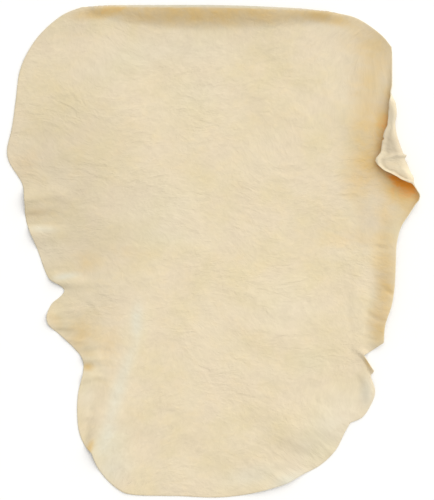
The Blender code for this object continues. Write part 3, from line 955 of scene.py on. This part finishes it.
class Thread:
    """One output of a finish's nodes. Arithmetic on it adds a Math node, and node() adds a node of any
    other type."""

    def __init__(self, tree, socket=None):
        self.tree, self.socket = tree, socket

    def node(self, kind, sockets=None, out=0, **settings):
        """A new node's output. The settings come first, then the sockets, by name or place, as values or
        links."""
        made = self.tree.nodes.new(kind)
        for name, value in settings.items():
            setattr(made, name, value)
        for name, value in (sockets or {}).items():
            if isinstance(value, Thread):
                self.tree.links.new(value.socket, made.inputs[name])
            else:
                made.inputs[name].default_value = value
        return Thread(self.tree, made.outputs[out])

    def maths(self, operation, *values, **settings):
        return self.node("ShaderNodeMath", dict(enumerate(values)), operation=operation, **settings)

    def __add__(self, other):
        return self.maths("ADD", self, other)

    def __sub__(self, other):
        return self.maths("SUBTRACT", self, other)

    def __rsub__(self, other):
        return self.maths("SUBTRACT", other, self)

    def __mul__(self, other):
        return self.maths("MULTIPLY", self, other)

    __radd__ = __add__
    __rmul__ = __mul__


def between(low, high, value):
    """From 0 where the value is low to 1 where it is high, with soft ends."""
    return value.node(
        "ShaderNodeMapRange",
        {"Value": value, "From Min": low, "From Max": high},
        interpolation_type="SMOOTHSTEP",
    )


def blended(share, first, second):
    """The colour at a share of the way from one colour to another."""
    return share.node("ShaderNodeMix", {0: share, 6: first, 7: second}, out=2, data_type="RGBA")


def grain(place, long, wide, heading=0, detail=2.0, roughness=0.5, distortion=0.0):
    """Noise from 0 to 1 whose blots are long by wide mm on the skin, turned by heading in degrees."""
    turned = place.node(
        "ShaderNodeMapping",
        {"Vector": place, "Rotation": (0, 0, math.radians(heading)), "Scale": (long * MM, wide * MM, 1)},
        vector_type="TEXTURE",
    )
    return place.node(
        "ShaderNodeTexNoise",
        {"Vector": turned, "Scale": 1.0, "Detail": detail, "Roughness": roughness, "Distortion": distortion},
    )


def bumped(height, depth, under=None):
    """A normal raised by depth mm where the height is 1."""
    sockets = {"Height": height, "Distance": depth * MM, "Strength": 1.0}
    if under:
        sockets["Normal"] = under
    return height.node("ShaderNodeBump", sockets)


def suede(name, ground, cloud, sheen):
    """A napped finish: the ground colour clouded with two others, tanned or paled by the tone attribute,
    which is mostly painted shade and painted highlight and partly the skin's own uneven tone, flecked by the
    nap with painted shade in the hollows of its strokes and furrows, and made darker or lighter by the
    painted light and shade of the skin's spots; with fine creases along the grain, broken by finer ones, in
    relief."""
    material = bpy.data.materials.new(name)
    material.use_nodes = True
    shader = material.node_tree.nodes["Principled BSDF"]
    skin = Thread(material.node_tree)
    place = skin.node("ShaderNodeUVMap", uv_map="cut")
    along = skin.node("ShaderNodeUVMap", uv_map="grain")
    tone = skin.node("ShaderNodeAttribute", attribute_name="tone", out="Fac")
    painted_shading = skin.node("ShaderNodeAttribute", attribute_name="painted_shading", out="Fac")

    clouds = between(0.36, 0.66, grain(place, 105, 75, 15, detail=3))
    flush = between(0.40, 0.64, grain(place, 64, 46, 60, detail=2))
    blotches = grain(place, 26, 18, -10, detail=3, roughness=0.6, distortion=0.4)
    loose = between(0.38, 0.62, grain(place, 90, 62, -30, detail=2))
    furrows = grain(along, 30, 13, 0, detail=2, roughness=0.5, distortion=0.7)
    wrinkles = grain(along, 17, 6.5, 14, detail=2, roughness=0.5, distortion=1.3)
    strokes = grain(along, 7.5, 5.5, -20, detail=2, roughness=0.5, distortion=0.7)
    nap = grain(place, 1.5, 1.0, 0, detail=3, roughness=0.7)
    lines = between(0.0, 0.14, skin.maths("ABSOLUTE", wrinkles - 0.5))

    colour = blended(clouds * 0.50 + blotches * 0.25, ground, cloud)
    colour = blended(flush * 0.45, colour, ROSY)
    # The tone mixes in the pale colour, mostly as a painted highlight, and the ochre and the tan, mostly as
    # painted shade.
    mottled = tone * (0.7 + 0.36 * between(0.3, 0.7, blotches) + 0.24 * strokes)
    colour = blended(skin.maths("MAXIMUM", -1 * mottled, 0.0), colour, PALE)
    warmth_and_shade = mottled + 0.20 * (blotches - 0.5)
    colour = blended(skin.maths("MAXIMUM", 2 * warmth_and_shade, 0.0, use_clamp=True), colour, OCHRE)
    colour = blended(skin.maths("MAXIMUM", 2 * warmth_and_shade - 1, 0.0, use_clamp=True), colour, TAN)
    # Darker where the strokes, the furrows and the nap run low, the same noises that raise the relief:
    # flecks of the nap's own colour together with painted shade in the hollows. The blotches are the nap's
    # own uneven colour.
    flecks_and_hollow_shade = 0.839 + 0.13 * strokes + 0.15 * blotches + 0.05 * furrows + 0.015 * nap
    # Times one plus the painted light and shade.
    colour = colour.node("ShaderNodeVectorMath", {0: colour, 1: flecks_and_hollow_shade * (1.0 + painted_shading)}, operation="MULTIPLY")
    rough = 0.84 + 0.10 * nap + 0.05 * clouds
    relief = bumped(furrows * (0.3 + loose), 1.35)
    relief = bumped(lines * loose, 0.10, relief)
    relief = bumped(strokes, 0.50, relief)
    relief = bumped(nap, 0.02, relief)

    links = material.node_tree.links
    links.new(colour.socket, shader.inputs["Base Color"])
    links.new(rough.socket, shader.inputs["Roughness"])
    links.new(relief.socket, shader.inputs["Normal"])
    shader.inputs["Specular IOR Level"].default_value = 0.18
    shader.inputs["Sheen Weight"].default_value = sheen
    shader.inputs["Sheen Roughness"].default_value = 0.55
    shader.inputs["Sheen Tint"].default_value = ground
    return material


def fibres(name):
    """The cut edge of the skin: pale fibre in fine layers along the edge, with loose ends in relief."""
    material = bpy.data.materials.new(name)
    material.use_nodes = True
    shader = material.node_tree.nodes["Principled BSDF"]
    skin = Thread(material.node_tree)
    place = skin.node("ShaderNodeTexCoord", out="Object")
    layers = skin.node("ShaderNodeTexNoise", {"Vector": place, "Scale": 900.0, "Detail": 3.0})
    tufts = skin.node("ShaderNodeTexNoise", {"Vector": place, "Scale": 240.0, "Detail": 3.0})
    colour = blended(between(0.3, 0.75, layers * 0.5 + tufts * 0.5), FIBRE, YELLOW)
    relief = bumped(layers, 0.12, bumped(tufts, 0.2))
    rough = 0.86 + layers * 0.1
    links = material.node_tree.links
    links.new(colour.socket, shader.inputs["Base Color"])
    links.new(rough.socket, shader.inputs["Roughness"])
    links.new(relief.socket, shader.inputs["Normal"])
    shader.inputs["Specular IOR Level"].default_value = 0.15
    return material


skin = skin_piece("chamois_suede_skin")
skin.data.materials.append(suede("suede_face", CREAM, YELLOW, 0.10))
skin.data.materials.append(suede("suede_flesh_side", FLESH_SIDE, CREAM, 0.12))
skin.data.materials.append(fibres("suede_cut_edge"))

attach(skin, "root")
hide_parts("chamois_skin")

# The table that it lies on: a plain pale top, wide enough for every view.

TABLE_HALF = 9.0
TABLE_COLOUR = (0.9, 0.9, 0.9, 1)


def table_top():
    mesh = bpy.data.meshes.new("table_top")
    h = TABLE_HALF
    mesh.from_pydata([(-h, -h, 0), (h, -h, 0), (h, h, 0), (-h, h, 0)], [], [(0, 1, 2, 3)])
    table = bpy.data.objects.new("table_top", mesh)
    bpy.context.scene.collection.objects.link(table)
    material = bpy.data.materials.new("matt_white")
    material.use_nodes = True
    shader = material.node_tree.nodes["Principled BSDF"]
    shader.inputs["Base Color"].default_value = TABLE_COLOUR
    shader.inputs["Roughness"].default_value = 0.9
    shader.inputs["Specular IOR Level"].default_value = 0.1
    mesh.materials.append(material)
    return table


table_top()

# The light: one very soft lamp on the upper right, 46 degrees up, and an even room.

LAMP_FROM = Vector((0.47, 0.51, 0.72))
LAMP_STRENGTH = 2.25
LAMP_SPREAD = 85.0  # degrees across
ROOM_STRENGTH = 0.64


def studio_light():
    lamp = bpy.data.lights.new("soft_lamp", "SUN")
    lamp.energy = LAMP_STRENGTH
    lamp.angle = math.radians(LAMP_SPREAD)
    lamp.color = (1.0, 0.99, 0.97)
    held = bpy.data.objects.new("soft_lamp", lamp)
    held.rotation_euler = LAMP_FROM.to_track_quat("Z", "Y").to_euler()
    bpy.context.scene.collection.objects.link(held)
    room = bpy.data.worlds.new("room")
    room.use_nodes = True
    room.node_tree.nodes["Background"].inputs["Color"].default_value = (1.0, 0.985, 0.96, 1)
    room.node_tree.nodes["Background"].inputs["Strength"].default_value = ROOM_STRENGTH
    bpy.context.scene.world = room
    bpy.context.scene.view_settings.view_transform = "Standard"


# The camera looks straight down from four metres, with the whole skin in view.

VIEW_X, VIEW_Y = 0.0055, 0.0018  # the middle of the view
VIEW_HEIGHT = 4.0
VIEW_LENGTH = 0.750  # what the long side of the view takes in
SENSOR = 36.0


def overhead_camera():
    lens = bpy.data.cameras.new("overhead")
    lens.sensor_width = SENSOR
    lens.lens = SENSOR * VIEW_HEIGHT / VIEW_LENGTH
    lens.clip_end = 100
    camera = bpy.data.objects.new("overhead", lens)
    camera.location = (VIEW_X, VIEW_Y, VIEW_HEIGHT)
    bpy.context.scene.collection.objects.link(camera)
    bpy.context.scene.camera = camera


studio_light()
overhead_camera()
